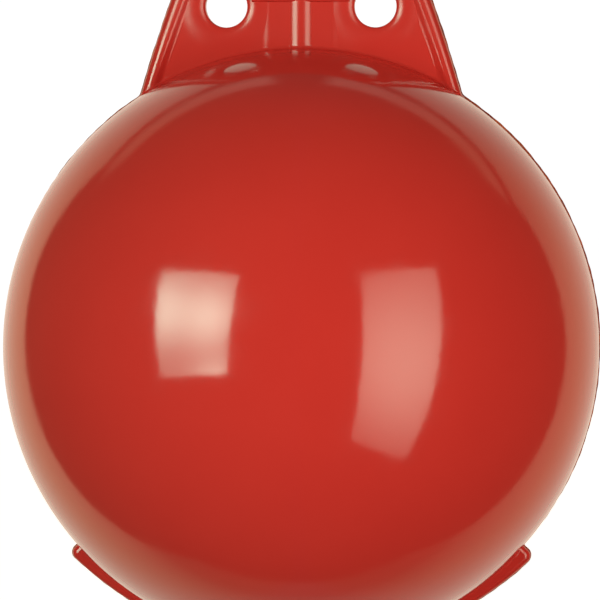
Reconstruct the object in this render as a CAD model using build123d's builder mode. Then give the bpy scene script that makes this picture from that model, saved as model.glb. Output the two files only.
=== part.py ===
# Ball float with a two-eyed lug, moulded as two half shells and welded all round the seam.
# Millimetres, +Z up. The origin is on the float's upright axis, at the water it floats in.
# The seam lies in the XZ plane: the front half shell is on the -Y side, the rear one on +Y.
import os
from math import acos, cos, degrees, hypot, radians, sin, sqrt

from build123d import *

os.makedirs("parts", exist_ok=True)

# Ball
ball_radius = 100.0
wall = 4.0
centre_above_water = 55.0

# Register lip inside the seam: the rear shell's lip stands in the front shell's rabbet
lip_depth = 3.0
lip_clearance = 0.2

# Weld bead: a loop in a groove round the whole seam, standing a little proud
bead_depth = 1.0
bead_proud = 0.6
bead_half = 0.7

# Eyes in the lug
eye_spacing = 49.8
eye_above_ball = 14.1
eye_radius = 7.0
eye_mouth_radius = 1.6

# Outline of the lug
lug_root_half_width = 53.8
lug_side_radius = 452.0
lug_root_fillet = 3.4

# Relief on one half of the lug: heights are measured from the seam outwards
plate_half = 3.0
rim_half = 4.5
rim_width = 6.0
rim_outer_round = 3.0
rim_inner_round = 1.3
boss_half = 3.6
boss_flat = 1.3
boss_edge = 0.5
boss_to_rim = 1.7
rib_width = 7.2
rib_height = 1.1
band_width = 23.2
band_height = 0.3
bar_half = 4.4
bar_above_eye = 1.5
bar_width = 7.2
bar_edge = 0.8
plate_fillet = 3.0

# Keel rim under the ball
keel_half_angle = 48.3
keel_height_at_end = 5.2
keel_height_at_bottom = 2.8
keel_half = 4.0
keel_corner = 1.8
keel_root_fillet = 1.2
keel_edge = 1.2

# Seam plane through the ball's centre: its x is +X, its y is +Z and it faces the front
seam = Plane(origin=(0, 0, centre_above_water), x_dir=(1, 0, 0), z_dir=(0, -1, 0))
# Level plane through the ball's centre, for profiles turned about the front-to-back axis
level = Plane(origin=(0, 0, centre_above_water), x_dir=(1, 0, 0), z_dir=(0, 0, 1))
ball_axis = Axis((0, 0, centre_above_water), (0, -1, 0))

# Sizes that follow from those above
inner_radius = ball_radius - wall
lip_radius = ball_radius - wall / 2
eye_x = eye_spacing / 2
eye_height = ball_radius + eye_above_ball
boss_radius = eye_radius + eye_mouth_radius + boss_flat + boss_edge
ear_margin = boss_radius + boss_to_rim + rim_width
bar_reach = eye_x - eye_radius - eye_mouth_radius
lug_top = eye_height + ear_margin
half_way = sqrt(0.5)


def side_arc_centre():
    """Centre of the lug's side arc: through the root corner and touching the ear's round."""
    root_y = sqrt(ball_radius**2 - lug_root_half_width**2)
    step_x = eye_x - lug_root_half_width
    step_y = eye_height - root_y
    distance = hypot(step_x, step_y)
    along = (lug_side_radius**2 - (lug_side_radius - ear_margin) ** 2 + distance**2) / (2 * distance)
    across = sqrt(lug_side_radius**2 - along**2)
    centre_x = lug_root_half_width + (along * step_x - across * step_y) / distance
    centre_y = root_y + (along * step_y + across * step_x) / distance
    return Vector(centre_x, centre_y)


# Corners of the lug's right half: where its side leaves the ball, and where the ear's round ends
side_centre = side_arc_centre()
eye_point = Vector(eye_x, eye_height)
root_point = Vector(lug_root_half_width, sqrt(ball_radius**2 - lug_root_half_width**2))
touch_point = eye_point + (eye_point - side_centre).normalized() * ear_margin
top_point = Vector(eye_x, lug_top)
buried_point = side_centre + (root_point - side_centre).rotate(Axis.Z, -degrees(wall / lug_side_radius))


def lug_half_line(start):
    """Draws the lug's right edge from a point on its side arc up to the middle of its top."""
    side_middle = side_centre + ((start + touch_point) / 2 - side_centre).normalized() * lug_side_radius
    ear_middle = eye_point + (touch_point + top_point - eye_point * 2).normalized() * ear_margin
    ThreePointArc(start, side_middle, touch_point)
    ThreePointArc(touch_point, ear_middle, top_point)
    Line(top_point, (0, lug_top))


def keel_outline():
    """The keel's outline as edges: a shallow arc, closed by two lines to the ball's centre."""
    end_radius = ball_radius + keel_height_at_end
    end_x = end_radius * sin(radians(keel_half_angle))
    end_y = -end_radius * cos(radians(keel_half_angle))
    with BuildLine() as outline:
        ThreePointArc((-end_x, end_y), (0, -ball_radius - keel_height_at_bottom), (end_x, end_y))
        Line((end_x, end_y), (0, 0))
        Line((0, 0), (-end_x, end_y))
    return outline.edges()


def meets_ball(vertex, half_width):
    """Whether a corner of the outline is where the lug or the keel leaves the ball."""
    on_ball = abs(hypot(vertex.X, vertex.Z - centre_above_water) - ball_radius) < 0.01
    return on_ball and abs(abs(vertex.X) - half_width) < 0.01


def is_outside_ball(edge):
    """Whether an edge of the keel's face belongs to its outline and not to its foot or its cut ends."""
    middle = edge @ 0.5
    is_cut_end = abs(abs(middle.X) - keel_root_half_width - keel_root_fillet / 2) < 0.01
    return hypot(middle.X, middle.Z - centre_above_water) > ball_radius and not is_cut_end


def is_mouth(edge, side):
    """Whether an edge is the rim of an eye on the outer face of its boss."""
    is_bore = abs(edge.radius - eye_radius) < 0.01
    return is_bore and abs(edge.center(CenterOf.GEOMETRY).Y - side * boss_half) < 0.01


# Lug's outline down to its root corners, closed inside the ball
with BuildLine() as lug_half_outline:
    Line((0, ball_radius / 2), (lug_root_half_width, ball_radius / 2))
    Line((lug_root_half_width, ball_radius / 2), root_point)
    lug_half_line(root_point)
with BuildSketch(seam) as lug_shape:
    with BuildLine():
        add(lug_half_outline.line)
        mirror(about=Plane.YZ)
    make_face()

# Whole outline in the seam plane: ball, lug and keel, rounded where they meet
with BuildSketch() as keel_wedge:
    make_face(keel_outline())
    tips = keel_wedge.vertices().sort_by(Axis.X)
    fillet([tips[0], tips[-1]], keel_corner)
keel_root_half_width = ball_radius * sin(radians(keel_half_angle))
with BuildSketch(seam) as outline:
    add(lug_shape.sketch_local)
    Circle(ball_radius)
    fillet(outline.vertices().filter_by(lambda v: meets_ball(v, lug_root_half_width)), lug_root_fillet)
    add(keel_wedge.sketch)
    fillet(outline.vertices().filter_by(lambda v: meets_ball(v, keel_root_half_width)), keel_root_fillet)

# Root of the lug: the part of that outline just above the ball, as thick as the rim's flat side
with BuildSketch(seam) as lug_root:
    add(outline.sketch_local)
    Circle(lip_radius, mode=Mode.SUBTRACT)
    with Locations((0, ball_radius)):
        Rectangle(2 * lug_root_half_width + lug_root_fillet, ball_radius, mode=Mode.INTERSECT)

# Plate inside the rim, down to the middle of the wall
with BuildSketch(seam) as plate:
    add(lug_shape.sketch_local)
    offset(amount=-rim_width / 2, kind=Kind.INTERSECTION, mode=Mode.REPLACE)
    Circle(lip_radius, mode=Mode.SUBTRACT)

# Line that the rim follows, from inside the ball up one side, over the top and down the other
with BuildLine() as rim_line:
    lug_half_line(buried_point)
    mirror(about=Plane.YZ)
rim_path = seam.location * rim_line.wire()
rim_ahead = rim_path % 0
rim_plane = Plane(origin=rim_path @ 0, x_dir=rim_ahead.cross(Vector(0, 1, 0)), z_dir=rim_ahead)

# Flat band up the middle of the plate, from inside the wall to under the cross bar
bar_bottom = eye_height + bar_above_eye
bar_middle = bar_bottom + bar_width / 2
with BuildSketch(seam) as band:
    with Locations((0, (lip_radius + bar_middle) / 2)):
        Rectangle(band_width, bar_middle - lip_radius)

with BuildSketch(seam) as bosses:
    with Locations((-eye_x, eye_height), (eye_x, eye_height)):
        Circle(boss_radius)

with BuildSketch(seam) as eyes:
    with Locations((-eye_x, eye_height), (eye_x, eye_height)):
        Circle(eye_radius)

# Keel: the part of the outline just under the ball
with BuildSketch(seam) as keel:
    add(outline.sketch_local)
    Circle(lip_radius, mode=Mode.SUBTRACT)
    with Locations((0, -ball_radius)):
        Rectangle(2 * keel_root_half_width + keel_root_fillet, ball_radius, mode=Mode.INTERSECT)

# Loop of the weld bead, from a groove's depth inside the outline to a little outside it
with BuildSketch(seam) as bead_loop:
    add(outline.sketch_local)
    offset(amount=bead_proud, kind=Kind.ARC, mode=Mode.REPLACE)
    with BuildSketch(mode=Mode.PRIVATE) as bead_inside:
        add(outline.sketch_local)
        offset(amount=-bead_depth, kind=Kind.ARC, mode=Mode.REPLACE)
    add(bead_inside.sketch, mode=Mode.SUBTRACT)


def rim_profile(outward):
    """Section of half the rim as edges: flat side at the seam, round outer and inner edges."""
    outer_low = (0, outward * (rim_half - rim_outer_round))
    outer_middle = (rim_outer_round * (1 - half_way), outward * (rim_half - rim_outer_round * (1 - half_way)))
    outer_top = (rim_outer_round, outward * rim_half)
    inner_top = (rim_width - rim_inner_round, outward * rim_half)
    inner_middle = (
        rim_width - rim_inner_round * (1 - half_way),
        outward * (rim_half - rim_inner_round * (1 - half_way)),
    )
    inner_low = (rim_width, outward * (rim_half - rim_inner_round))
    with BuildLine() as section:
        Line((0, 0), outer_low)
        ThreePointArc(outer_low, outer_middle, outer_top)
        Line(outer_top, inner_top)
        ThreePointArc(inner_top, inner_middle, inner_low)
        Polyline(inner_low, (rim_width, 0), (0, 0))
    return section.edges()


def rib_profile(side):
    """Section of the rib as edges: a low round back on the band's face."""
    foot = side * (plate_half + band_height)
    with BuildLine() as section:
        ThreePointArc((-rib_width / 2, foot), (0, foot + side * rib_height), (rib_width / 2, foot))
        Polyline((rib_width / 2, foot), (rib_width / 2, 0), (-rib_width / 2, 0), (-rib_width / 2, foot))
    return section.edges()


def ball_profile(side, has_lip):
    """Section of the solid half ball as edges, with the register lip across the seam."""
    lip_x = lip_radius - lip_clearance
    middle = (ball_radius * half_way, side * ball_radius * half_way)
    with BuildLine() as section:
        ThreePointArc((0, side * ball_radius), middle, (ball_radius, 0))
        if has_lip:
            Polyline((ball_radius, 0), (lip_x, 0), (lip_x, -side * lip_depth), (0, -side * lip_depth))
            Line((0, -side * lip_depth), (0, side * ball_radius))
        else:
            Polyline((ball_radius, 0), (0, 0), (0, side * ball_radius))
    return section.edges()


def hollow_profile(side, has_lip):
    """Section of the hollow as edges, with the rabbet where the other shell's lip goes."""
    reach = lip_depth + lip_clearance
    if has_lip:
        seam_points = [(0, -side * reach), (inner_radius, -side * reach), (inner_radius, 0)]
    else:
        seam_points = [
            (0, -side * reach),
            (lip_radius, -side * reach),
            (lip_radius, side * reach),
            (sqrt(inner_radius**2 - reach**2), side * reach),
        ]
    middle = (inner_radius * half_way, side * inner_radius * half_way)
    with BuildLine() as section:
        Polyline(*seam_points)
        ThreePointArc(seam_points[-1], middle, (0, side * inner_radius))
        Line((0, side * inner_radius), seam_points[0])
    return section.edges()


def plate_fillet_profile(side):
    """Section of the round between the lug's plate and the ball as edges, touching both."""
    centre_y = plate_half + plate_fillet
    centre = Vector(sqrt((ball_radius + plate_fillet) ** 2 - centre_y**2), centre_y)
    on_ball = centre * (ball_radius / (ball_radius + plate_fillet))
    on_plate = Vector(centre.X, plate_half)
    middle = centre + (on_ball + on_plate - centre * 2).normalized() * plate_fillet
    round_points = [Vector(p.X, side * p.Y) for p in (on_ball, middle, on_plate)]
    with BuildLine() as section:
        ThreePointArc(*round_points)
        Polyline(round_points[2], (on_plate.X, 0), (lip_radius, 0), round_points[0])
    return section.edges()


# Radial plane through the middle of the lug's right rim, where the plate's root round starts
root_angle = acos((lug_root_half_width - rim_width / 2) / ball_radius)
root_plane = Plane(
    origin=(0, 0, centre_above_water),
    x_dir=(cos(root_angle), 0, sin(root_angle)),
    z_dir=(-sin(root_angle), 0, cos(root_angle)),
)
root_sweep = 180 - 2 * degrees(root_angle)

# Half shells: wall, lug half and keel half in one moulding each
# Columns: name, side of the seam along Y, whether this one carries the register lip
half_shells = (
    ("front_half_shell", -1, False),
    ("rear_half_shell", 1, True),
)
for name, side, has_lip in half_shells:
    outward = -side
    with BuildPart() as half_shell:
        # Bosses round the eyes, their outer edge bevelled before the plate comes round them
        extrude(bosses.sketch, amount=outward * boss_half)
        chamfer(half_shell.faces().sort_by(Axis.Y, reverse=side > 0)[:2].edges(), boss_edge)

        # Keel, with its outer edge rounded
        extrude(keel.sketch, amount=outward * keel_half)
        keel_edges = half_shell.edges().filter_by_position(
            Axis.Y, side * keel_half - 0.01, side * keel_half + 0.01
        )
        fillet(keel_edges.filter_by(is_outside_ball), keel_edge)

        # Rim of the lug, carried along its edge, and the root that spreads onto the ball
        with BuildSketch(rim_plane):
            make_face(rim_profile(outward))
        sweep(path=rim_path)
        extrude(lug_root.sketch, amount=outward * (rim_half - rim_outer_round))

        # Plate with its band, rib and cross bar
        extrude(plate.sketch, amount=outward * plate_half)
        extrude(band.sketch, amount=outward * (plate_half + band_height))
        with BuildSketch(level.offset(lip_radius)):
            make_face(rib_profile(side))
        extrude(amount=bar_middle - lip_radius)

        # Cross bar between the eyes
        with BuildSketch(Plane.YZ) as bar_section:
            with Locations((side * bar_half / 2, centre_above_water + bar_middle)):
                Rectangle(bar_half, bar_width)
            outer_corners = bar_section.vertices().group_by(Axis.Y)[-1 if side > 0 else 0]
            fillet(outer_corners, bar_edge)
        extrude(amount=bar_reach, both=True)

        # Ball, and the round between it and the plate
        with BuildSketch(root_plane):
            make_face(plate_fillet_profile(side))
        revolve(axis=ball_axis, revolution_arc=root_sweep)
        with BuildSketch(level):
            make_face(ball_profile(side, has_lip))
        revolve(axis=ball_axis)

        # Eyes, rounded at their mouths
        extrude(eyes.sketch, amount=outward * 2 * boss_half, mode=Mode.SUBTRACT)
        mouths = half_shell.edges().filter_by(GeomType.CIRCLE).filter_by(lambda e: is_mouth(e, side))
        fillet(mouths, eye_mouth_radius)

        # Hollow inside, and the groove of the weld bead
        with BuildSketch(level):
            make_face(hollow_profile(side, has_lip))
        revolve(axis=ball_axis, mode=Mode.SUBTRACT)
        extrude(bead_loop.sketch, amount=bead_half, both=True, mode=Mode.SUBTRACT)
    half_shell.part.label = name
    export_step(half_shell.part, f"parts/{name}.step")

# Weld bead: the loop in two pieces that meet at the middle of the lug's top and of the keel
# Columns: name, direction of its half along X
bead_halves = (
    ("weld_bead_left", -1),
    ("weld_bead_right", 1),
)
for name, direction in bead_halves:
    with BuildPart() as weld_bead:
        with BuildSketch(seam):
            add(bead_loop.sketch_local)
            with Locations((direction * ball_radius, 0)):
                Rectangle(2 * ball_radius, 4 * ball_radius, mode=Mode.INTERSECT)
        extrude(amount=bead_half, both=True)
    weld_bead.part.label = name
    export_step(weld_bead.part, f"parts/{name}.step")
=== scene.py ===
"""A red marker buoy: a hollow moulded ball in two welded half shells, with a two-eyed lug.

Each half shell is one piece that stands for its CAD node, and so is each half of the weld bead.
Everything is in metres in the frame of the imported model: +Z up, the seam in the XZ plane, the front
half shell towards -Y and the origin at the water that the buoy floats in.
"""

from math import acos, atan2, ceil, cos, exp, hypot, pi, radians, sin, sqrt
from types import SimpleNamespace

import bpy
import numpy as np
from bpy.props import FloatProperty, FloatVectorProperty, PointerProperty
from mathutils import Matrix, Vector


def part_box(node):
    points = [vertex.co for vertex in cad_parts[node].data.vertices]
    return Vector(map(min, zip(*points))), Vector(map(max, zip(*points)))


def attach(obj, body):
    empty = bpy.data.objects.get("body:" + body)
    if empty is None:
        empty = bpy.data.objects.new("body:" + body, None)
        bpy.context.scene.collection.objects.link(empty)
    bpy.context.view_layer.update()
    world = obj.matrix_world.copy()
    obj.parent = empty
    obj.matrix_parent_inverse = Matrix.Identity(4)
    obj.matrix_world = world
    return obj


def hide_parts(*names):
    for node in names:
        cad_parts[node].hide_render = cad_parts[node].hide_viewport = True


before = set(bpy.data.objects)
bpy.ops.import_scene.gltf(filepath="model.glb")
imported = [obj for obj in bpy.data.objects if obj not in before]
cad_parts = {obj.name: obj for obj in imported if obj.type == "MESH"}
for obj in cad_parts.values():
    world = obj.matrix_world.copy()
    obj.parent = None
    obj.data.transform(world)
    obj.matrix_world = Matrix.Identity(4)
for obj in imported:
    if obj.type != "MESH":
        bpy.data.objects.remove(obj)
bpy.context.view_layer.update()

bl_info = {
    "name": "Marker Buoy",
    "version": (1, 0, 0),
    "blender": (4, 5, 0),
    "location": "View3D > Sidebar > Buoy",
    "description": "Builds a moulded ball float with a two-eyed lug, its weld bead and a studio",
    "category": "Object",
}

MM = 0.001
BODY = "root"
FRONT, REAR = -1, 1
# Step of the points along an outline, and the most that an arc turns in one step
SPACING = 0.8 * MM
ARC_TURN = radians(9)
# Numbers of points: round the ball, from its pole to the seam outside and inside, round an eye,
# along the lug's root, along the keel's root and across the round in either
AROUND_BALL, OUTER_RINGS, INNER_RINGS = 288, 73, 37
AROUND_EYE, ALONG_LUG, ALONG_KEEL, ACROSS_ROUND = 112, 640, 200, 13
# Corners that turn further than this show as edges, and points nearer than this are one
SHARP_TURN = radians(32)
SAME_POINT = 0.0005 * MM
# How far the back of a root's round lies under the face that it rises from
FACE_OVERLAP = 0.8 * MM
# Lengths over which the lug's and the keel's root rounds run out at their ends, in radii
LUG_RUN_OUT, KEEL_RUN_OUT = 6, 3
# Share by which the rim is narrower at the ball than at the eyes, as in the photograph
RIM_TAPER = 0.13
SHELL_NODES = {FRONT: "front_half_shell", REAR: "rear_half_shell"}
BEAD_NODES = {-1: "weld_bead_left", 1: "weld_bead_right"}

# The ball's radius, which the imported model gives, and its centre's height above the water
shell_low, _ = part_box(SHELL_NODES[FRONT])
BALL_RADIUS = -shell_low.y
CENTRE_HEIGHT = 55 * MM

# The camera: its lens, its distance from the ball's centre, its angles to the right of square on
# and above level, and the point that it looks at
LENS, SENSOR = 178.14, 36
CAMERA_DISTANCE, CAMERA_YAW, CAMERA_RISE = 1.0, radians(2.9), radians(4.5)
CAMERA_TARGET = (-0.43 * MM, 1.09 * MM, 70.72 * MM)
FLOOR_RADIUS, FLOOR_HEIGHT = 9.0, -0.85
BOUNCE_PLACE = (0.15, -0.65, -0.6)


def size(name, value, description):
    """A length in metres that a user may change, given here in millimetres."""
    return FloatProperty(
        name=name, description=description, default=value * MM, unit="LENGTH", precision=5
    )


def linear(code):
    """sRGB hex value to linear colour with alpha, by the standard two-part curve."""
    value = np.array([int(code[i : i + 2], 16) for i in (1, 3, 5)]) / 255
    curve = np.where(value <= 0.04045, value / 12.92, ((value + 0.055) / 1.055) ** 2.4)
    return (*curve.tolist(), 1.0)


def colour(name, code, description):
    """A colour that a user may change, given here as an sRGB hex value."""
    return FloatVectorProperty(
        name=name, description=description, default=linear(code), subtype="COLOR", size=4, max=1
    )


class BuoySizes(bpy.types.PropertyGroup):
    """Lengths of the buoy, with some rounds and slopes softer than in the part's source."""

    wall: size("Wall", 4.0, "Thickness of the ball's wall")
    lip_depth: size("Lip depth", 3.0, "How far the rear shell's lip stands past the seam")
    lip_clearance: size("Lip clearance", 0.2, "Room round the lip in the front shell's rabbet")
    waviness: size("Waviness", 0.16, "Depth of the ball's slow unevenness from moulding")
    eye_spacing: size("Eye spacing", 49.8, "Distance between the centres of the eyes")
    eye_above_ball: size("Eye above ball", 14.1, "Height of the eyes' centres above the ball's top")
    eye_radius: size("Eye radius", 7.0, "Radius of an eye's bore")
    mouth: size("Mouth depth", 1.6, "Depth of the wide round at the mouth of an eye")
    ear_margin: size("Ear margin", 18.1, "Radius of the lug's corners, struck from the eyes")
    root_half_width: size("Root half width", 53.8, "Half the lug's width where it leaves the ball")
    side_radius: size("Side radius", 452.0, "Radius of the lug's bowed sides")
    root_fillet: size("Root fillet", 3.4, "Round in the outline between lug and ball")
    plate_half: size("Plate", 3.0, "Height of the lug's plate above the seam")
    rim_half: size("Rim height", 4.5, "Height of the lug's rim above the seam")
    rim_outer_round: size("Rim outer round", 3.0, "Round on the outer edge of the rim")
    rim_flat: size("Rim flat", 0.5, "Flat on the crest of the rim")
    rim_slope: size("Rim slope", 3.2, "Width of the soft slope on the inner side of the rim")
    boss_half: size("Boss height", 3.6, "Height of the ring round an eye above the seam")
    boss_radius: size("Boss radius", 10.4, "Outer radius of the ring round an eye")
    boss_slope: size("Boss slope", 6.2, "Width of the soft slope at the outer edge of that ring")
    rib_width: size("Rib width", 7.2, "Width of the round rib up the middle of the lug")
    rib_height: size("Rib height", 1.1, "Height of that rib above the band")
    band_width: size("Band width", 23.2, "Width of the raised band that carries the rib")
    band_height: size("Band height", 0.3, "Height of that band above the plate")
    band_slope: size("Band slope", 3.1, "Width of the soft slope at the edges of that band")
    bar_half: size("Bar height", 4.4, "Height of the cross bar above the seam")
    bar_above_eye: size("Bar above eye", 1.5, "Height of the bar's lower edge over the eyes")
    bar_width: size("Bar width", 7.2, "Width of the cross bar")
    bar_edge: size("Bar edge", 0.8, "Round on the edges of the cross bar")
    plate_fillet: size("Plate fillet", 1.4, "Round between the lug's faces and the ball")
    keel_end: size("Keel at its ends", 5.2, "Height of the keel above the ball at its ends")
    keel_middle: size("Keel in the middle", 2.8, "Height of the keel above the ball at the bottom")
    keel_half: size("Keel half thickness", 4.0, "Half the keel's thickness")
    keel_corner: size("Keel corner", 2.6, "Round at the keel's ends")
    keel_root: size("Keel root", 1.2, "Round between keel and ball")
    keel_edge: size("Keel edge", 2.2, "Round on the keel's outer edges")
    bead_depth: size("Bead depth", 1.0, "Depth of the weld bead under the outline")
    bead_proud: size("Bead height", 0.6, "Most that the weld bead stands above the outline")
    bead_half: size("Bead half width", 0.7, "Half the weld bead's width")
    keel_half_angle: FloatProperty(
        name="Keel half angle",
        description="Angle from the bottom of the ball to an end of the keel",
        default=radians(48.3),
        subtype="ANGLE",
    )


class BuoyColours(bpy.types.PropertyGroup):
    """Colours of the buoy and of the floor."""

    shell: colour("Shell", "#d1302b", "Red of the moulded shells")
    shell_deep: colour("Shell, deep", "#ca2b27", "Deeper red of the slow clouds in the plastic")
    bead: colour("Weld bead", "#8a2a18", "Brown red of the plastic that was melted")
    bead_light: colour("Weld bead, light", "#c4572e", "Orange brown where the bead is thin")
    floor: colour("Floor", "#f4f4f2", "Pale floor")


def add_node(tree, kind, inputs=None, **settings):
    """Adds a node, sets its properties and values by name, and feeds its inputs.

    An input takes a socket, which is linked to it, or a value.
    """
    node = tree.nodes.new(kind)
    for name, value in settings.items():
        if hasattr(node, name):
            setattr(node, name, value)
        else:
            node.inputs[name.replace("_", " ")].default_value = value
    for name, source in (inputs or {}).items():
        if isinstance(source, bpy.types.NodeSocket):
            tree.links.new(source, node.inputs[name])
        else:
            node.inputs[name].default_value = source
    return node


# Shapes in the seam plane, x to the right and y up from the ball's centre


def circles_meet(centre_a, radius_a, centre_b, radius_b, turn):
    """Where two circles cross: along the line of centres to their chord, then half of it across."""
    step = centre_b - centre_a
    distance = hypot(*step)
    along = (radius_a**2 - radius_b**2 + distance**2) / (2 * distance)
    across = turn * sqrt(radius_a**2 - along**2)
    return centre_a + (along * step + across * np.array((-step[1], step[0]))) / distance


def arc(centre, radius, first, last, outward=1):
    """Points centre + radius (cos a, sin a) for a from first to last, with their normals.

    The normals point away from the centre, or towards it with outward at -1.
    """
    turn = abs(last - first)
    count = 1 + max(ceil(turn * radius / SPACING), ceil(turn / ARC_TURN))
    angle = np.linspace(first, last, count)
    normal = np.stack((np.cos(angle), np.sin(angle)), axis=1)
    return np.asarray(centre) + radius * normal, outward * normal


def line(first, last, normal):
    """Points at even steps from first to last, all with one normal."""
    first, last = np.asarray(first), np.asarray(last)
    share = np.linspace(0, 1, 1 + ceil(hypot(*(last - first)) / SPACING))[:, None]
    return first + share * (last - first), np.tile(normal, (len(share), 1))


def layout(s):
    """Centres and angles of the outline's arcs: each round touches both its neighbours."""
    p = SimpleNamespace()
    p.ball = np.zeros(2)
    p.eye = np.array((s.eye_spacing / 2, BALL_RADIUS + s.eye_above_ball))
    p.top = p.eye[1] + s.ear_margin
    p.root = np.array((s.root_half_width, sqrt(BALL_RADIUS**2 - s.root_half_width**2)))
    p.side = circles_meet(p.root, s.side_radius, p.eye, s.side_radius - s.ear_margin, 1)
    p.touch = atan2(*(p.eye - p.side)[::-1])
    p.fillet = circles_meet(
        p.side, s.side_radius + s.root_fillet, p.ball, BALL_RADIUS + s.root_fillet, 1
    )
    p.side_end = atan2(*(p.fillet - p.side)[::-1])
    p.ball_start = atan2(*p.fillet[::-1])
    # Keel: its end lies on a ray from the ball's centre, its outer edge on a wider circle
    ray = s.keel_half_angle - pi / 2
    p.ray = ray
    along, out = np.array((cos(ray), sin(ray))), np.array((-sin(ray), cos(ray)))
    p.ray_out = out
    end = BALL_RADIUS + s.keel_end
    low = BALL_RADIUS + s.keel_middle
    lift = (end**2 - low**2) / (2 * (low - end * cos(s.keel_half_angle)))
    p.keel, p.keel_radius = np.array((0, lift)), low + lift
    from_centre = sqrt((BALL_RADIUS + s.keel_root) ** 2 - s.keel_root**2)
    p.keel_fillet = along * from_centre + out * s.keel_root
    p.ball_end = atan2(*p.keel_fillet[::-1])
    inner = p.keel_radius - s.keel_corner
    reach = along @ p.keel
    rest = s.keel_corner**2 + 2 * s.keel_corner * (out @ p.keel) + lift**2 - inner**2
    p.corner = along * (reach + sqrt(reach**2 - rest)) - out * s.keel_corner
    p.keel_start = atan2(*(p.corner - p.keel)[::-1])
    return p


def lug_run(s, p):
    """Right half of the lug's edge, from the middle of its top round the ear down to the ball."""
    return [
        line((0, p.top), (p.eye[0], p.top), (0, 1)),
        arc(p.eye, s.ear_margin, pi / 2, p.touch),
        arc(p.side, s.side_radius, p.touch, p.side_end),
        arc(p.fillet, s.root_fillet, p.side_end + pi, p.ball_start + pi, -1),
    ]


def ball_run(p):
    """Right edge of the ball, from the lug's root round to the keel's."""
    return [arc(p.ball, BALL_RADIUS, p.ball_start, p.ball_end)]


def keel_run(s, p):
    """Right half of the keel's edge, from the ball round its end to the middle of the bottom."""
    start = p.keel_fillet - s.keel_root * p.ray_out
    return [
        arc(p.keel_fillet, s.keel_root, p.ball_end + pi, p.ray + 3 * pi / 2, -1),
        line(start, p.corner + s.keel_corner * p.ray_out, p.ray_out),
        arc(p.corner, s.keel_corner, p.ray + pi / 2, p.keel_start),
        arc(p.keel, p.keel_radius, p.keel_start, -pi / 2),
    ]


def joined(runs):
    """Runs end to end as one path, without the points that two runs share."""
    points = np.concatenate([run[0] if i == 0 else run[0][1:] for i, run in enumerate(runs)])
    normals = np.concatenate([run[1] if i == 0 else run[1][1:] for i, run in enumerate(runs)])
    return points, normals


def both_sides(points, normals):
    """A right half path that starts on the middle line, with its mirror image put before it."""
    flip = np.array((-1, 1))
    return (
        np.concatenate((points[:0:-1] * flip, points)),
        np.concatenate((normals[:0:-1] * flip, normals)),
    )


def quarter_round(centre, radius, first, last, count):
    """Points of a section's round, centre + radius (cos a, sin a), with the angles in degrees.

    Two radii, across and up, give an oval.
    """
    angle = np.radians(np.linspace(first, last, count))
    way = np.stack((np.cos(angle), np.sin(angle)), axis=1)
    return np.asarray(centre) + np.asarray(radius) * way


# Surfaces


def surface(points, close_rows=False, close_columns=False, ends=False):
    """Triangles over a grid of points, one shell whose faces point outwards.

    Rows or columns may close on themselves. With ends, fans cover the first and last rows. Points
    that fall together, as at a pole, become one, and triangles that vanish with them are left out.
    The sign of the enclosed volume, the sum of a . (b x c) / 6, says which way the faces look.
    """
    rows, columns = points.shape[:2]
    index = np.arange(rows * columns).reshape(rows, columns)
    if close_rows:
        index = np.concatenate((index, index[:1]))
    if close_columns:
        index = np.concatenate((index, index[:, :1]), axis=1)
    a, b, c, d = index[:-1, :-1], index[:-1, 1:], index[1:, 1:], index[1:, :-1]
    faces = [np.stack((a, b, c), -1).reshape(-1, 3), np.stack((a, c, d), -1).reshape(-1, 3)]
    points = points.reshape(-1, 3)
    if ends:
        first, last = index[0], index[-1]
        middles = np.stack((points[first].mean(0), points[last].mean(0)))
        hub = np.full(len(first) - 1, len(points))
        faces.append(np.stack((first[1:], first[:-1], hub), -1))
        faces.append(np.stack((last[:-1], last[1:], hub + 1), -1))
        points = np.concatenate((points, middles))
    faces = np.concatenate(faces)
    rounded = np.round(points / SAME_POINT).astype(np.int64)
    _, kept, same = np.unique(rounded, axis=0, return_index=True, return_inverse=True)
    faces = same.reshape(-1)[faces]
    whole = (faces != np.roll(faces, 1, axis=1)).all(axis=1)
    points, faces = points[kept], faces[whole]
    corners = points[faces]
    volume = np.einsum("ij,ij->i", corners[:, 0], np.cross(corners[:, 1], corners[:, 2])).sum() / 6
    return points, faces if volume > 0 else faces[:, ::-1]


def placed(x, depth, height):
    """Points from the seam plane's x, the depth along Y and the height above the ball's centre."""
    return np.stack(np.broadcast_arrays(x, depth, CENTRE_HEIGHT + height), axis=-1)


def carried(path, normals, section, side=1, stretch=None):
    """A section carried along a path in the seam plane.

    A section point (u, v) comes to path - u * stretch * normal, at v along Y on the given side.
    """
    stretch = np.ones(len(path)) if stretch is None else stretch
    inward = section[None, :, 0] * stretch[:, None]
    x = path[:, None, 0] - inward * normals[:, None, 0]
    height = path[:, None, 1] - inward * normals[:, None, 1]
    return placed(x, side * section[None, :, 1], height)


def turned(centre, section, side, count):
    """A section (radius, depth) turned about an axis along Y through a point of the seam plane."""
    angle = np.linspace(0, 2 * pi, count, endpoint=False)[:, None]
    x = centre[0] + section[None, :, 0] * np.cos(angle)
    height = centre[1] + section[None, :, 0] * np.sin(angle)
    return placed(x, side * section[None, :, 1], height)


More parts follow.
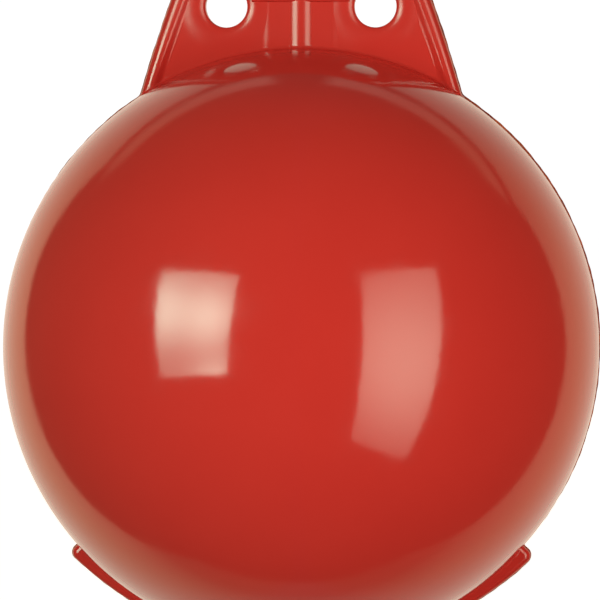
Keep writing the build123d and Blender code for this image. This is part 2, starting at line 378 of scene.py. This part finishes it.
def make_piece(name, shells, material, node):
    """Joins closed shells into one mesh, smooth but for sharp corners, that stands for a node."""
    starts = np.cumsum([0] + [len(points) for points, _ in shells[:-1]])
    points = np.concatenate([points for points, _ in shells])
    faces = np.concatenate([faces + start for (_, faces), start in zip(shells, starts)])
    mesh = bpy.data.meshes.new(name)
    mesh.vertices.add(len(points))
    mesh.vertices.foreach_set("co", points.astype(np.float32).ravel())
    mesh.loops.add(faces.size)
    mesh.loops.foreach_set("vertex_index", faces.astype(np.int32).ravel())
    mesh.polygons.add(len(faces))
    mesh.polygons.foreach_set("loop_start", np.arange(0, faces.size, 3, dtype=np.int32))
    mesh.update(calc_edges=True)
    mesh.validate()
    mesh.shade_smooth()
    mesh.set_sharp_from_angle(angle=SHARP_TURN)
    mesh.materials.append(material)
    piece = bpy.data.objects.new(name, mesh)
    bpy.context.scene.collection.objects.link(piece)
    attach(piece, BODY)
    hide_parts(node)
    return piece


# The pieces of a half shell


# Wave vectors of the ball's unevenness, in radians over one radius, and the phase of each
WAVES = np.array(
    (
        (5.2, 1.1, 2.3, 0.4),
        (-2.1, 4.4, 3.9, 1.9),
        (3.3, -2.7, 6.1, 3.0),
        (7.4, 3.2, -1.8, 5.1),
        (1.7, 5.9, -4.6, 0.8),
    )
)


def ball_shell(s, side):
    """Hollow half ball: its wall's section turned about the Y axis, a little uneven outside.

    The outer radius is R less waviness * (1 - w) / 2, where w is a mean of five sines of the
    direction, each with its own wave vector, so the surface never leaves the true ball.
    """
    inner = BALL_RADIUS - s.wall
    lip = BALL_RADIUS - s.wall / 2
    reach = s.lip_depth + s.lip_clearance
    outer_angle = np.linspace(0, pi / 2, OUTER_RINGS)
    outer = BALL_RADIUS * np.stack((np.sin(outer_angle), np.cos(outer_angle)), axis=1)
    if side == REAR:
        lip -= s.lip_clearance
        seam = [(lip, 0), (lip, -s.lip_depth), (inner, -s.lip_depth), (inner, 0)]
        last = pi / 2
    else:
        seam = [(lip, 0), (lip, reach)]
        last = acos(reach / inner)
    inner_angle = np.linspace(last, 0, INNER_RINGS)
    hollow = inner * np.stack((np.sin(inner_angle), np.cos(inner_angle)), axis=1)
    section = np.concatenate((outer, np.array(seam), hollow))
    grid = turned((0, 0), section, side, AROUND_BALL)
    direction = (grid - np.array((0, 0, CENTRE_HEIGHT))) / BALL_RADIUS
    wave = np.sin(direction @ WAVES[:, :3].T + WAVES[:, 3]).mean(-1)
    dent = np.where(np.arange(len(section)) < len(outer), s.waviness * (1 - wave) / 2, 0)
    grid = grid - direction * dent[..., None]
    return surface(grid, close_rows=True)


def lug_rim(s, p, side):
    """Rim of the lug: half its section carried along the lug's edge, narrower towards the ball."""
    low = s.rim_half - s.rim_outer_round
    inward = s.rim_outer_round + s.rim_flat + s.rim_slope * np.linspace(0, 1, 14)
    section = np.concatenate(
        (
            [(s.rim_outer_round, 0), (0, 0), (0, low / 2)],
            quarter_round((s.rim_outer_round, low), s.rim_outer_round, 180, 90, 11),
            np.stack((inward, rim_top(s, inward)), axis=1),
            [(inward[-1], 0)],
        )
    )
    points, normals = both_sides(*joined(lug_run(s, p)))
    fall = np.clip((p.eye[1] - points[:, 1]) / (p.eye[1] - p.root[1]), 0, 1)
    grid = carried(points, normals, section, side, 1 - RIM_TAPER * fall)
    return surface(grid, close_columns=True, ends=True)


def rim_top(s, inward):
    """Height of the rim above the seam at a distance inward from the lug's edge."""
    low = s.rim_half - s.rim_outer_round
    crest = s.rim_outer_round + s.rim_flat
    rise = low + np.sqrt(np.clip(s.rim_outer_round**2 - (s.rim_outer_round - inward) ** 2, 0, None))
    fall = s.plate_half + (s.rim_half - s.plate_half) * soft_step((inward - crest) / s.rim_slope)
    top = np.where(inward < s.rim_outer_round, rise, np.where(inward < crest, s.rim_half, fall))
    return np.where(inward < 0, low, top)


def soft_step(share):
    """Falls from 1 to 0 as share rises from 0 to 1: half of one plus the cosine of pi share."""
    return (1 + np.cos(pi * np.clip(share, 0, 1))) / 2


def ridge(s, x):
    """Height above the seam of the band and the rib's round back, at x from the lug's middle."""
    away = np.abs(x)
    band = s.plate_half + s.band_height * soft_step((away - s.band_width / 2) / s.band_slope + 0.5)
    radius = (s.rib_width**2 / 4 + s.rib_height**2) / (2 * s.rib_height)
    back = s.rib_height - radius + np.sqrt(np.clip(radius**2 - x**2, 0, None))
    return band + np.clip(back, 0, None)


def relief(s, p, x, height):
    """Height of the lug's face above the seam: the higher of ridge and rim there."""
    inward = (s.side_radius - np.hypot(np.abs(x) - p.side[0], height - p.side[1])) / (1 - RIM_TAPER)
    top = rim_top(s, inward)
    return np.where(inward < s.rim_outer_round, top, np.maximum(top, ridge(s, x)))


def foot_round(angle, height, radius, depth_inside, side):
    """Round between a raised face and the ball, from one angle round the ball to another.

    At each angle the face lies at a height above the seam. The round's centre lies one radius above
    the face and one outside the ball, so it touches both. Behind it the shell closes in the wall.
    """
    centre_y = height + radius
    centre_r = np.sqrt((BALL_RADIUS + radius) ** 2 - centre_y**2)
    start = np.arctan2(-centre_y, -centre_r)
    share = np.linspace(0, 1, ACROSS_ROUND)
    turn = start[:, None] + share * (-pi / 2 - start[:, None])
    reach = centre_r[:, None] + radius[:, None] * np.cos(turn)
    depth = centre_y[:, None] + radius[:, None] * np.sin(turn)
    # The back: a point under the face, and one in the wall at nine tenths of the foot's depth
    back_reach = np.stack((centre_r, centre_r * 0 + BALL_RADIUS - depth_inside), axis=1)
    back_depth = np.stack((height - FACE_OVERLAP, depth[:, 0] * 0.9), axis=1)
    reach = np.concatenate((reach, back_reach), axis=1)
    depth = np.concatenate((depth, back_depth), axis=1)
    x = reach * np.cos(angle)[:, None]
    up = reach * np.sin(angle)[:, None]
    return surface(placed(x, side * depth, up), close_columns=True, ends=True)


def lug_root(s, p, side):
    """Round between the lug's face and the ball, which runs out towards the lug's corners."""
    angle = np.linspace(p.ball_start, pi - p.ball_start, ALONG_LUG)
    from_end = BALL_RADIUS * np.minimum(angle - p.ball_start, pi - p.ball_start - angle)
    radius = s.plate_fillet * (1 - soft_step(from_end / (LUG_RUN_OUT * s.plate_fillet)))
    # The face's height is taken a third of the round's radius outside the ball
    reach = BALL_RADIUS + radius / 3
    height = relief(s, p, reach * np.cos(angle), reach * np.sin(angle))
    return foot_round(angle, height, radius, s.wall / 2, side)


def plate_reach(s, p, angle, inset):
    """Distance from an eye's centre, at an angle, to the edge of its half of the plate.

    It is the least of the distances to the middle line, the top, the ear's round, the side's arc
    and the wall of the ball, each where the ray from the eye meets it.
    """
    way = np.stack((np.cos(angle), np.sin(angle)), axis=1)
    # One metre, further than any edge, where the ray misses one
    far = np.full(len(angle), 1.0)
    with np.errstate(divide="ignore", invalid="ignore"):
        middle = np.where(way[:, 0] < -1e-9, -p.eye[0] / way[:, 0], far)
        top = np.where(way[:, 1] > 1e-9, (s.ear_margin - inset) / way[:, 1], far)
    ear = np.where((angle >= p.touch) & (angle <= pi / 2), s.ear_margin - inset, far)
    offset = p.eye - p.side
    half = way @ offset
    side = -half + np.sqrt(half**2 - offset @ offset + (s.side_radius - inset) ** 2)
    half = way @ p.eye
    under = half**2 - p.eye @ p.eye + (BALL_RADIUS - s.wall / 2) ** 2
    ball = np.where((under > 0) & (half < 0), -half - np.sqrt(np.clip(under, 0, None)), far)
    return np.min((middle, top, ear, side, ball), axis=0)


def lug_plate(s, p, side):
    """Plate of the lug, half of it round each eye: rays from the mouth to the edge, with a back."""
    inset = s.rim_outer_round
    foot = BALL_RADIUS - s.wall / 2
    corners = [atan2(p.top - inset - p.eye[1], -p.eye[0]), atan2(foot - p.eye[1], -p.eye[0])]
    edge = s.side_radius - inset
    low = circles_meet(p.side, edge, p.ball, foot, 1)
    corners.append(atan2(low[1] - p.eye[1], low[0] - p.eye[0]))
    # A ray every two degrees, and one through each corner
    angle = np.sort(np.concatenate((np.linspace(-pi, pi, 181)[:-1], corners)))
    reach = plate_reach(s, p, angle, inset)
    near = np.full(len(angle), s.eye_radius + s.mouth)
    radius = np.stack((near, reach, reach, near), axis=1)
    depth = np.array((s.plate_half, s.plate_half, 0, 0))
    shells = []
    for hand in (-1, 1):
        x = hand * (p.eye[0] + radius * np.cos(angle)[:, None])
        height = p.eye[1] + radius * np.sin(angle)[:, None]
        shells.append(surface(placed(x, side * depth, height), close_rows=True, close_columns=True))
    return shells


def boss(s, p, side):
    """Rings round the eyes, each a section turned about the eye: bore, oval mouth and soft slope.

    The mouth is a quarter of an ellipse, as wide as the ring, and the slope falls to the plate.
    """
    share = np.linspace(0, 1, 12)
    slope_in = s.boss_radius + s.boss_slope * share
    slope_up = s.plate_half + (s.boss_half - s.plate_half) * soft_step(share)
    bore_end = s.boss_half - s.mouth
    oval = (s.boss_radius - s.eye_radius, s.mouth)
    section = np.concatenate(
        (
            [(s.eye_radius, 0), (s.eye_radius, bore_end / 2)],
            quarter_round((s.boss_radius, bore_end), oval, 180, 90, 13),
            np.stack((slope_in, slope_up), axis=1)[1:],
            [(slope_in[-1], 0)],
        )
    )
    grids = [turned((hand * p.eye[0], p.eye[1]), section, side, AROUND_EYE) for hand in (-1, 1)]
    return [surface(grid, close_rows=True, close_columns=True) for grid in grids]


def straight(section, first, last, across, side):
    """A closed section (u, v) carried straight: up the lug at x = u, or across it at height u."""
    share = np.array((first, last))[:, None] + 0 * section[None, :, 0]
    u = section[None, :, 0] + 0 * share
    depth = side * section[None, :, 1] + 0 * share
    x, height = (share, u) if across else (u, share)
    return surface(placed(x, depth, height), close_columns=True, ends=True)


def lug_ribs(s, p, side):
    """Band with its rib, and cross bar of the lug, each a section carried straight."""
    foot = BALL_RADIUS - s.wall / 2
    bar_low = p.eye[1] + s.bar_above_eye
    bar_high = bar_low + s.bar_width
    half = (s.band_width + s.band_slope) / 2
    x = np.union1d(np.linspace(-half, half, 241), (-s.rib_width / 2, s.rib_width / 2))
    band = np.concatenate(([(-half, 0)], np.stack((x, ridge(s, x)), axis=1), [(half, 0)]))
    edge = s.bar_edge
    bar = np.concatenate(
        (
            [(bar_low, 0)],
            quarter_round((bar_low + edge, s.bar_half - edge), edge, 180, 90, 6),
            quarter_round((bar_high - edge, s.bar_half - edge), edge, 90, 0, 6),
            [(bar_high, 0)],
        )
    )
    reach = p.eye[0] - s.eye_radius - s.mouth
    return [
        straight(band, foot, bar_low + s.bar_width / 2, False, side),
        straight(bar, -reach, reach, True, side),
    ]


def keel(s, p, side):
    """Keel of the half shell: edge, round and side face follow its outline, down into the wall."""
    points, normals = joined(keel_run(s, p))
    points, normals = both_sides(points[::-1], normals[::-1])
    edge = s.keel_edge
    section = np.concatenate(
        (
            [(0, 0), (0, (s.keel_half - edge) / 2)],
            quarter_round((edge, s.keel_half - edge), edge, 180, 90, 8),
        )
    )
    grid = carried(points, normals, section, side)
    # The side face runs on from the round towards the ball's centre, and closes inside the wall
    rim = grid[:, -1]
    away = rim - np.array((0, 0, CENTRE_HEIGHT))
    way = away * np.array((1, 0, 1))
    way = way / np.linalg.norm(way, axis=1, keepdims=True)
    under = np.array((0, 0, CENTRE_HEIGHT)) + way * (BALL_RADIUS - s.wall / 2)
    face = under + np.array((0, side * s.keel_half, 0))
    grid = np.concatenate((grid, face[:, None], under[:, None]), axis=1)
    return surface(grid, close_columns=True, ends=True)


def keel_root(s, p, side):
    """Round between the keel's side and the ball, which runs out at the keel's ends."""
    angle = np.linspace(-pi - p.ray, p.ray, ALONG_KEEL)
    from_end = BALL_RADIUS * np.minimum(angle + pi + p.ray, p.ray - angle)
    radius = s.keel_root * (1 - soft_step(from_end / (KEEL_RUN_OUT * s.keel_root)))
    return foot_round(angle, s.keel_half + 0 * angle, radius, s.wall / 2, side)


class BUOY_OT_half_shells(bpy.types.Operator):
    """Makes the front and the rear half shell, each with its half of the lug and of the keel"""

    bl_idname = "buoy.half_shells"
    bl_label = "Half Shells"

    def execute(self, context):
        s = context.scene.buoy_sizes
        p = layout(s)
        material = shell_material(context.scene.buoy_colours)
        for side, node in SHELL_NODES.items():
            shells = [ball_shell(s, side), lug_rim(s, p, side), lug_root(s, p, side)]
            shells += lug_plate(s, p, side) + boss(s, p, side) + lug_ribs(s, p, side)
            shells += [keel(s, p, side), keel_root(s, p, side)]
            name = node.replace("_shell", "_moulding")
            make_piece(name, shells, material, node)
        return {"FINISHED"}


class BUOY_OT_weld_beads(bpy.types.Operator):
    """Makes the two halves of the weld bead that runs round the whole seam"""

    bl_idname = "buoy.weld_beads"
    bl_label = "Weld Beads"

    def execute(self, context):
        s = context.scene.buoy_sizes
        p = layout(s)
        material = bead_material(context.scene.buoy_colours)
        for hand, node in BEAD_NODES.items():
            name = node.replace("weld_bead", "weld_flash")
            make_piece(name, [weld_bead(s, p, hand)], material, node)
        return {"FINISHED"}


# Sines of the weld bead's unevenness: radians per metre along it, and where each starts
BEAD_RATES = np.array((110, 270, 520, 1300))
BEAD_STARTS = np.array((0.3, 2.1, 4.4, 1.2))


def weld_bead(s, p, hand):
    """Half of the weld bead: an oval back carried along the outline, uneven as it was melted.

    Its height is bead_proud times 0.45 + 0.55 n, where n is a mean of four sines of the way along,
    brought between 0 and 1. One of the sines makes it up to a fifth narrower.
    """
    points, normals = joined(lug_run(s, p) + ball_run(p) + keel_run(s, p))
    way = np.concatenate(([0], np.cumsum(np.hypot(*np.diff(points, axis=0).T))))
    ripple = np.sin(way[:, None] * BEAD_RATES + BEAD_STARTS + 1.7 * hand)
    uneven = 0.5 + 0.5 * ripple.mean(1)
    angle = np.radians(np.linspace(0, 180, 11))
    back = np.stack((-np.sin(angle), np.cos(angle)), axis=1)
    proud = s.bead_proud * (0.45 + 0.55 * uneven)
    inward = np.where(back[None, :, 0] < 0, back[None, :, 0] * proud[:, None], 0)
    lateral = s.bead_half * back[None, :, 1] * (0.9 + 0.1 * ripple[:, 1:2])
    deep = np.full((len(points), 1), s.bead_depth)
    inward = np.concatenate((inward, deep, deep), axis=1)
    lateral = np.concatenate((lateral, lateral[:, -1:], lateral[:, :1]), axis=1)
    x = hand * (points[:, None, 0] - inward * normals[:, None, 0])
    height = points[:, None, 1] - inward * normals[:, None, 1]
    return surface(placed(x, lateral, height), close_columns=True, ends=True)


# Materials


def new_material(name):
    """An empty node material, and its tree."""
    material = bpy.data.materials.new(name)
    material.use_nodes = True
    tree = material.node_tree
    tree.nodes.clear()
    return material, tree


def shell_material(colours):
    """Injection-moulded ABS, glossy from a polished mould.

    To the eye it is a deep even red with sharp reflections of the studio, broken a little by fine
    orange peel and by rubbed places that only show in the highlights. The lug is a little duller.
    """
    material, tree = new_material("moulded ABS, gloss red")
    place = add_node(tree, "ShaderNodeTexCoord").outputs["Object"]
    # Clouds of pigment, about 30 mm across: a noise of scale n has features 1 / n metres wide
    clouds = add_node(tree, "ShaderNodeTexNoise", {"Vector": place}, Scale=33.0, Detail=3.0)
    tint = add_node(tree, "ShaderNodeMix", {"Factor": clouds.outputs["Fac"]}, data_type="RGBA")
    tint.inputs["A"].default_value = colours.shell
    tint.inputs["B"].default_value = colours.shell_deep
    # Rubbed places, about 12 mm across, a little duller than the rest
    rub = add_node(
        tree, "ShaderNodeTexNoise", {"Vector": place}, Scale=80.0, Detail=4.0, Roughness=0.6
    )
    dull = add_node(
        tree,
        "ShaderNodeMapRange",
        {"Value": rub.outputs["Fac"]},
        From_Min=0.45,
        From_Max=0.75,
        To_Min=0.09,
        To_Max=0.16,
    )
    # The mould is less polished in the lug, above the ball's top
    up = add_node(tree, "ShaderNodeSeparateXYZ", {"Vector": place}).outputs["Z"]
    satin = add_node(
        tree,
        "ShaderNodeMapRange",
        {"Value": up},
        From_Min=CENTRE_HEIGHT + BALL_RADIUS - 2 * MM,
        From_Max=CENTRE_HEIGHT + BALL_RADIUS + 4 * MM,
        To_Min=0.0,
        To_Max=0.13,
    )
    inputs = {0: dull.outputs["Result"], 1: satin.outputs["Result"]}
    gloss = add_node(tree, "ShaderNodeMath", inputs, operation="ADD")
    # Orange peel of the moulding, ripples about 4 mm across and up to 0.02 mm high
    peel = add_node(tree, "ShaderNodeTexNoise", {"Vector": place}, Scale=250.0, Detail=2.0)
    inputs = {"Height": peel.outputs["Fac"]}
    bump = add_node(tree, "ShaderNodeBump", inputs, Strength=0.35, Distance=0.06 * MM)
    inputs = {
        "Base Color": tint.outputs["Result"],
        "Roughness": gloss.outputs["Value"],
        "Normal": bump.outputs["Normal"],
    }
    shader = add_node(tree, "ShaderNodeBsdfPrincipled", inputs, IOR=1.52)
    add_node(tree, "ShaderNodeOutputMaterial", {"Surface": shader.outputs["BSDF"]})
    return material


def bead_material(colours):
    """ABS that was melted and squeezed out of the seam.

    To the eye it is browner and darker than the moulding, lighter where it is thin, and its gloss
    is broken by fine ripples across the bead.
    """
    material, tree = new_material("melted ABS, weld bead")
    place = add_node(tree, "ShaderNodeTexCoord").outputs["Object"]
    # Blotches about 6 mm long
    blotches = add_node(tree, "ShaderNodeTexNoise", {"Vector": place}, Scale=160.0, Detail=3.0)
    share = add_node(
        tree, "ShaderNodeMapRange", {"Value": blotches.outputs["Fac"]}, From_Min=0.42, From_Max=0.66
    )
    tint = add_node(tree, "ShaderNodeMix", {"Factor": share.outputs["Result"]}, data_type="RGBA")
    tint.inputs["A"].default_value = colours.bead
    tint.inputs["B"].default_value = colours.bead_light
    # Ripples about 1 mm across
    ripples = add_node(tree, "ShaderNodeTexNoise", {"Vector": place}, Scale=900.0, Detail=2.0)
    inputs = {"Height": ripples.outputs["Fac"]}
    bump = add_node(tree, "ShaderNodeBump", inputs, Strength=0.6, Distance=0.2 * MM)
    # A low IOR, because scorched flash mirrors less than sound ABS at its 1.52
    shader = add_node(
        tree,
        "ShaderNodeBsdfPrincipled",
        {"Base Color": tint.outputs["Result"], "Normal": bump.outputs["Normal"]},
        Roughness=0.45,
        IOR=1.3,
    )
    add_node(tree, "ShaderNodeOutputMaterial", {"Surface": shader.outputs["BSDF"]})
    return material


def floor_material(colours):
    """Painted board, matt: a plain pale ground with no sheen, lit evenly.

    Its brush grain, about 17 mm long, is drawn coarser than the real one, so that it can show.
    """
    material, tree = new_material("painted board, matt")
    place = add_node(tree, "ShaderNodeTexCoord").outputs["Object"]
    grain = add_node(tree, "ShaderNodeTexNoise", {"Vector": place}, Scale=60.0, Detail=2.0)
    inputs = {"Height": grain.outputs["Fac"]}
    bump = add_node(tree, "ShaderNodeBump", inputs, Strength=0.1, Distance=0.5 * MM)
    shader = add_node(
        tree,
        "ShaderNodeBsdfPrincipled",
        {"Normal": bump.outputs["Normal"]},
        Roughness=0.8,
        Emission_Strength=1.0,
    )
    shader.inputs["Base Color"].default_value = colours.floor
    shader.inputs["Emission Color"].default_value = colours.floor
    add_node(tree, "ShaderNodeOutputMaterial", {"Surface": shader.outputs["BSDF"]})
    return material


# The studio


def aimed(data, name, place, target):
    """Links a light or camera at a place, its -Z axis towards the target and its Y axis up."""
    thing = bpy.data.objects.new(name, data)
    thing.location = place
    thing.rotation_euler = (Vector(target) - Vector(place)).to_track_quat("-Z", "Y").to_euler()
    bpy.context.scene.collection.objects.link(thing)
    return thing


# Soft boxes: name, top left, top right and bottom left corners, tint, radiance away from the
# bulbs, what a bulb adds and its spread, and the places on the cloth in front of the bulbs
SOFT_BOXES = (
    (
        "left soft box",
        ((-0.871, -0.624, 0.589), (-0.398, -0.983, 0.634), (-1.032, -0.899, -0.110)),
        "#d7ffe4",
        (3.4, 8.8, 0.22),
        ((-0.889, -0.745, 0.355), (-0.591, -0.997, 0.341), (-0.639, -1.258, -0.177)),
    ),
    (
        "right soft box",
        ((0.466, -0.922, 0.636), (0.801, -0.493, 0.554), (0.500, -1.220, -0.672)),
        "#f6ffe4",
        (1.1, 4.0, 0.55),
        ((0.665, -0.815, 0.026),),
    ),
)


def soft_box_material(name, tint, rest, peak, spread, bulbs):
    """Diffusing nylon cloth, woven, lit from behind.

    To the eye it is bright in front of each bulb and dims around it: its radiance is rest plus, for
    each bulb, peak times e to the power of minus the square of the distance over the spread.
    """
    material, tree = new_material(name + ", diffusing nylon")
    place = add_node(tree, "ShaderNodeTexCoord").outputs["Object"]
    total = rest
    for bulb in bulbs:
        away = add_node(tree, "ShaderNodeVectorMath", {0: place, 1: bulb}, operation="DISTANCE")
        inputs = {0: away.outputs["Value"], 1: spread}
        share = add_node(tree, "ShaderNodeMath", inputs, operation="DIVIDE")
        inputs = {0: share.outputs["Value"], 1: 2.0}
        square = add_node(tree, "ShaderNodeMath", inputs, operation="POWER")
        inputs = {0: exp(-1), 1: square.outputs["Value"]}
        fade = add_node(tree, "ShaderNodeMath", inputs, operation="POWER")
        inputs = {0: fade.outputs["Value"], 1: peak, 2: total}
        node = add_node(tree, "ShaderNodeMath", inputs, operation="MULTIPLY_ADD")
        total = node.outputs["Value"]
    shader = add_node(tree, "ShaderNodeEmission", {"Strength": total, "Color": linear(tint)})
    add_node(tree, "ShaderNodeOutputMaterial", {"Surface": shader.outputs["Emission"]})
    return material


def soft_box(name, corners, material):
    """The lit face of a soft box, a flat sheet that the camera sees past."""
    top_left, top_right, low_left = (Vector(corner) for corner in corners)
    points = (top_left, top_right, top_right + low_left - top_left, low_left)
    mesh = bpy.data.meshes.new(name)
    mesh.from_pydata([tuple(point) for point in points], [], [(0, 1, 2, 3)])
    mesh.materials.append(material)
    box = bpy.data.objects.new(name, mesh)
    box.visible_camera = False
    bpy.context.scene.collection.objects.link(box)


# What the ball mirrors from behind it, step by step. A direction (x, y, z) meets the plane one
# metre behind the buoy at u = x / y and v = z / y. Each row gives a name, an operation, and the
# names or numbers that it works on. A RAMP goes smoothly from its third number, where the value is
# its first, to its fourth, where the value is its second.
SWEEP_STEPS = (
    ("ahead", "MAXIMUM", "y", 0.05),
    ("u", "DIVIDE", "x", "ahead"),
    ("v", "DIVIDE", "z", "ahead"),
    ("across", "ABSOLUTE", "u", 0.0),
    ("behind", "RAMP", "y", 0.05, 0.15, 0.0, 1.0),
    # Sides of the paper sweep, which spread out where it comes forward as the ground
    ("lower left", "ADD", "v", -0.3),
    ("lower left", "MINIMUM", "lower left", 0.0),
    ("lower left", "MULTIPLY", "lower left", -0.36),
    ("from left", "ADD", "u", "lower left"),
    ("left side", "RAMP", "from left", -1.25, -1.1, 0.0, 1.0),
    ("lower right", "ADD", "v", 0.1),
    ("lower right", "MINIMUM", "lower right", 0.0),
    ("lower right", "MULTIPLY", "lower right", 0.36),
    ("from right", "ADD", "u", "lower right"),
    ("right side", "RAMP", "from right", 1.58, 1.43, 0.0, 1.0),
    ("top edge", "RAMP", "v", 1.02, 0.94, 0.0, 1.0),
    # Its light, brightest at the level of the buoy and towards the left
    ("upper light", "RAMP", "v", 1.1, 0.0, 0.6, 1.0),
    ("lower light", "RAMP", "v", -4.5, -0.2, 0.25, 0.95),
    ("side light", "RAMP", "u", -0.4, 1.6, 1.0, 0.78),
    ("middle", "RAMP", "across", 0.8, 0.0, 0.0, 0.5),
    ("high", "RAMP", "v", 0.5, 1.0, 0.0, 1.0),
    ("high middle", "MULTIPLY", "middle", "high"),
    ("top light", "SUBTRACT", 1.0, "high middle"),
    ("outline", "MULTIPLY", "left side", "right side", "top edge", "behind"),
    ("sweep", "MULTIPLY", "outline", "upper light", "lower light", "side light", "top light"),
    # Faint strip of ceiling above the sweep, open over the buoy
    ("strip foot", "RAMP", "v", 1.05, 1.2, 0.0, 1.0),
    ("strip top", "RAMP", "v", 1.52, 1.4, 0.0, 0.4),
    ("strip left", "RAMP", "u", -1.65, -1.35, 0.0, 1.0),
    ("strip right", "RAMP", "u", 1.85, 1.55, 0.0, 1.0),
    ("gap left", "RAMP", "u", -0.24, -0.14, 0.0, 1.0),
    ("gap right", "RAMP", "u", 0.14, 0.04, 0.0, 1.0),
    ("gap", "MULTIPLY", "gap left", "gap right"),
    ("strip open", "SUBTRACT", 1.0, "gap"),
    ("strip", "MULTIPLY", "strip foot", "strip top", "behind"),
    ("strip", "MULTIPLY", "strip", "strip left", "strip right", "strip open"),
    # Dim room all round
    ("room", "ADD", "sweep", "strip", 0.1),
    ("strength", "MAXIMUM", "room", "seen"),
    ("warmth", "RAMP", "across", 0.2, 1.2, 0.0, 1.0),
)

RAMP_INPUTS = ("Value", "From Min", "From Max", "To Min", "To Max")
# Colours of the room's light, which may go past one: to the camera, and of the paper that the
# ball mirrors, in the middle and at the sides
WHITE = (1.0, 1.0, 1.0, 1.0)
PAPER_MIDDLE = (1.0, 0.83, 0.66, 1.0)
PAPER_SIDES = (1.05, 0.81, 0.49, 1.0)


def studio_world():
    """The room: plain white to the camera, and a paper sweep in a dim room to the ball."""
    world = bpy.data.worlds.new("studio")
    world.use_nodes = True
    tree = world.node_tree
    tree.nodes.clear()
    place = add_node(tree, "ShaderNodeTexCoord").outputs["Generated"]
    way = add_node(tree, "ShaderNodeSeparateXYZ", {"Vector": place}).outputs
    seen = add_node(tree, "ShaderNodeLightPath").outputs["Is Camera Ray"]
    sockets = {"x": way["X"], "y": way["Y"], "z": way["Z"], "seen": seen}
    for name, operation, first, *rest in SWEEP_STEPS:
        socket = sockets.get(first, first)
        if operation == "RAMP":
            inputs = dict(zip(RAMP_INPUTS, (socket, *rest)))
            node = add_node(tree, "ShaderNodeMapRange", inputs, interpolation_type="SMOOTHSTEP")
            socket = node.outputs["Result"]
        else:
            for term in rest:
                inputs = {0: socket, 1: sockets.get(term, term)}
                node = add_node(tree, "ShaderNodeMath", inputs, operation=operation)
                socket = node.outputs["Value"]
        sockets[name] = socket
    # The paper looks warmer towards its sides
    inputs = {"Factor": sockets["warmth"], "A": PAPER_MIDDLE, "B": PAPER_SIDES}
    paper = add_node(tree, "ShaderNodeMix", inputs, data_type="RGBA")
    inputs = {"Factor": seen, "A": paper.outputs["Result"], "B": WHITE}
    tint = add_node(tree, "ShaderNodeMix", inputs, data_type="RGBA")
    inputs = {"Strength": sockets["strength"], "Color": tint.outputs["Result"]}
    light = add_node(tree, "ShaderNodeBackground", inputs)
    add_node(tree, "ShaderNodeOutputWorld", {"Surface": light.outputs["Background"]})
    return world


class BUOY_OT_stage(bpy.types.Operator):
    """Makes the pale floor, the soft boxes, the room that the ball mirrors, and the camera"""

    bl_idname = "buoy.stage"
    bl_label = "Stage"

    def execute(self, context):
        scene = context.scene
        mesh = bpy.data.meshes.new("floor")
        angle = np.linspace(0, 2 * pi, 96, endpoint=False)
        ring = FLOOR_RADIUS * np.stack((np.cos(angle), np.sin(angle)), axis=1)
        points = [(x, y, FLOOR_HEIGHT) for x, y in ring.tolist()]
        mesh.from_pydata(points, [], [tuple(range(len(points)))])
        mesh.materials.append(floor_material(scene.buoy_colours))
        floor = bpy.data.objects.new("floor", mesh)
        floor.visible_glossy = False
        floor.visible_diffuse = False
        scene.collection.objects.link(floor)
        for name, corners, tint, glow, bulbs in SOFT_BOXES:
            soft_box(name, corners, soft_box_material(name, tint, *glow, bulbs))
        # Faint bounce from the pale ground below, too soft to show as a reflection
        lamp = bpy.data.lights.new("floor bounce", "AREA")
        lamp.size = 1.2
        lamp.energy = 0.5
        centre = Vector((0, 0, CENTRE_HEIGHT))
        bounce = aimed(lamp, "floor bounce", BOUNCE_PLACE, centre)
        bounce.visible_glossy = False
        scene.world = studio_world()
        scene.view_settings.view_transform = "Standard"
        lens = bpy.data.cameras.new("camera")
        lens.sensor_width = SENSOR
        lens.lens = LENS
        level = cos(CAMERA_RISE)
        way = Vector((sin(CAMERA_YAW) * level, -cos(CAMERA_YAW) * level, sin(CAMERA_RISE)))
        place = centre + CAMERA_DISTANCE * way
        scene.camera = aimed(lens, "camera", place, CAMERA_TARGET)
        return {"FINISHED"}


class VIEW3D_PT_buoy(bpy.types.Panel):
    """Lists the sizes, the colours and the operators that build the buoy"""

    bl_idname = "VIEW3D_PT_buoy"
    bl_label = "Marker Buoy"
    bl_space_type = "VIEW_3D"
    bl_region_type = "UI"
    bl_category = "Buoy"

    def draw(self, context):
        layout_ui = self.layout
        for group in (context.scene.buoy_sizes, context.scene.buoy_colours):
            column = layout_ui.column(align=True)
            for name in group.__annotations__:
                column.prop(group, name)
        for operator in OPERATORS:
            layout_ui.operator(operator.bl_idname)


OPERATORS = (BUOY_OT_half_shells, BUOY_OT_weld_beads, BUOY_OT_stage)
CLASSES = (BuoySizes, BuoyColours, *OPERATORS, VIEW3D_PT_buoy)


def register():
    """Makes the classes and their settings known to Blender."""
    for each in CLASSES:
        bpy.utils.register_class(each)
    bpy.types.Scene.buoy_sizes = PointerProperty(type=BuoySizes)
    bpy.types.Scene.buoy_colours = PointerProperty(type=BuoyColours)


def unregister():
    """Takes the settings and the classes out again."""
    del bpy.types.Scene.buoy_colours
    del bpy.types.Scene.buoy_sizes
    for each in reversed(CLASSES):
        bpy.utils.unregister_class(each)


def main():
    register()
    bpy.ops.buoy.half_shells()
    bpy.ops.buoy.weld_beads()
    bpy.ops.buoy.stage()


if __name__ == "__main__":
    main()
